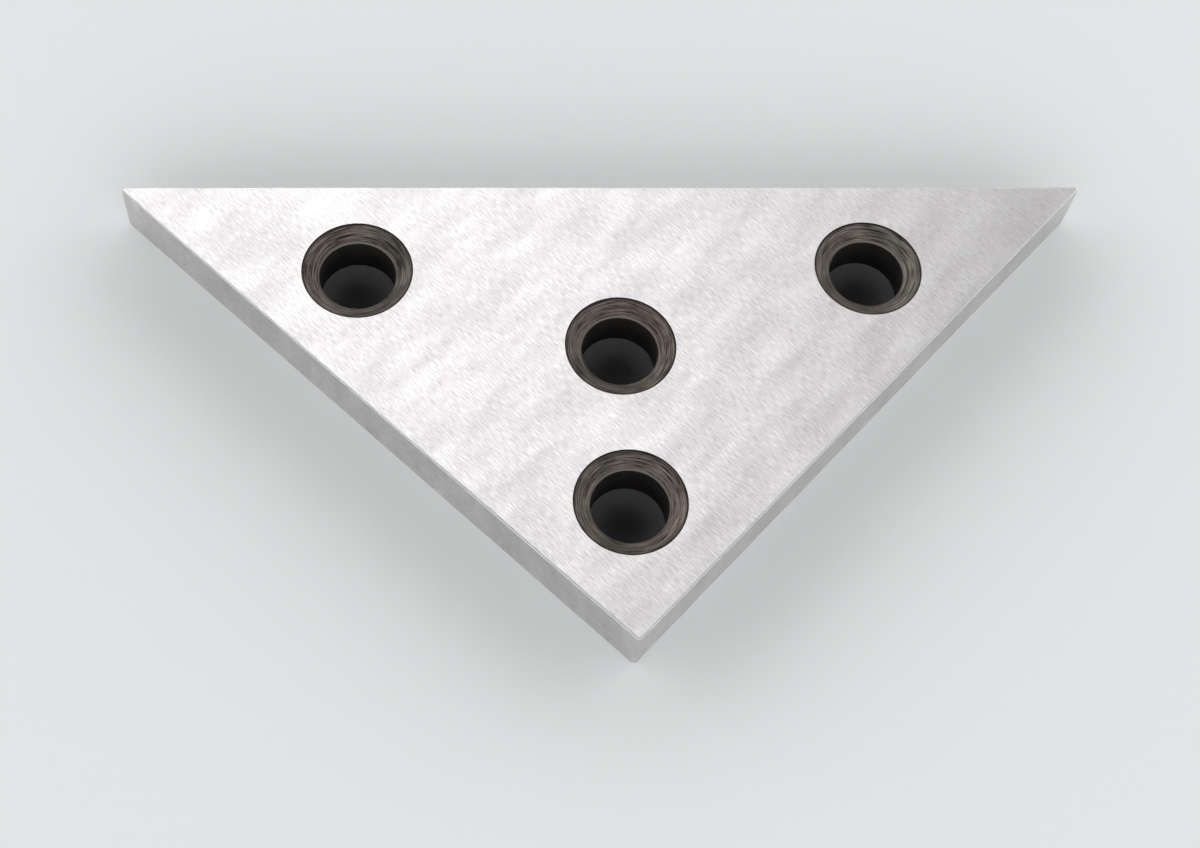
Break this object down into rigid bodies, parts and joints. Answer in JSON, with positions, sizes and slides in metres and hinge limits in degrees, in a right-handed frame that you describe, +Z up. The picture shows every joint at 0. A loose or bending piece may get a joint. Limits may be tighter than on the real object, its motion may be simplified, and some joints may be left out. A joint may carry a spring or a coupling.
{
  "type": "machinist setup block",
  "caption": "Ground steel 45-45-90 triangular setup block with countersunk through holes, for setting and clamping work at fixed angles.",
  "frame": {"origin": "centre of the lower ground face's bounding rectangle", "axes": "+Z up through the thickness, X along the long side, the square corner towards -Y"},
  "size_m": [0.1262, 0.0634, 0.008],
  "materials": {
    "ground_tool_steel": "surface-ground, with black heat scale left in the holes"
  },
  "bodies": {
    "root": {"setup_block": "ground_tool_steel"}
  },
  "joints": []
}
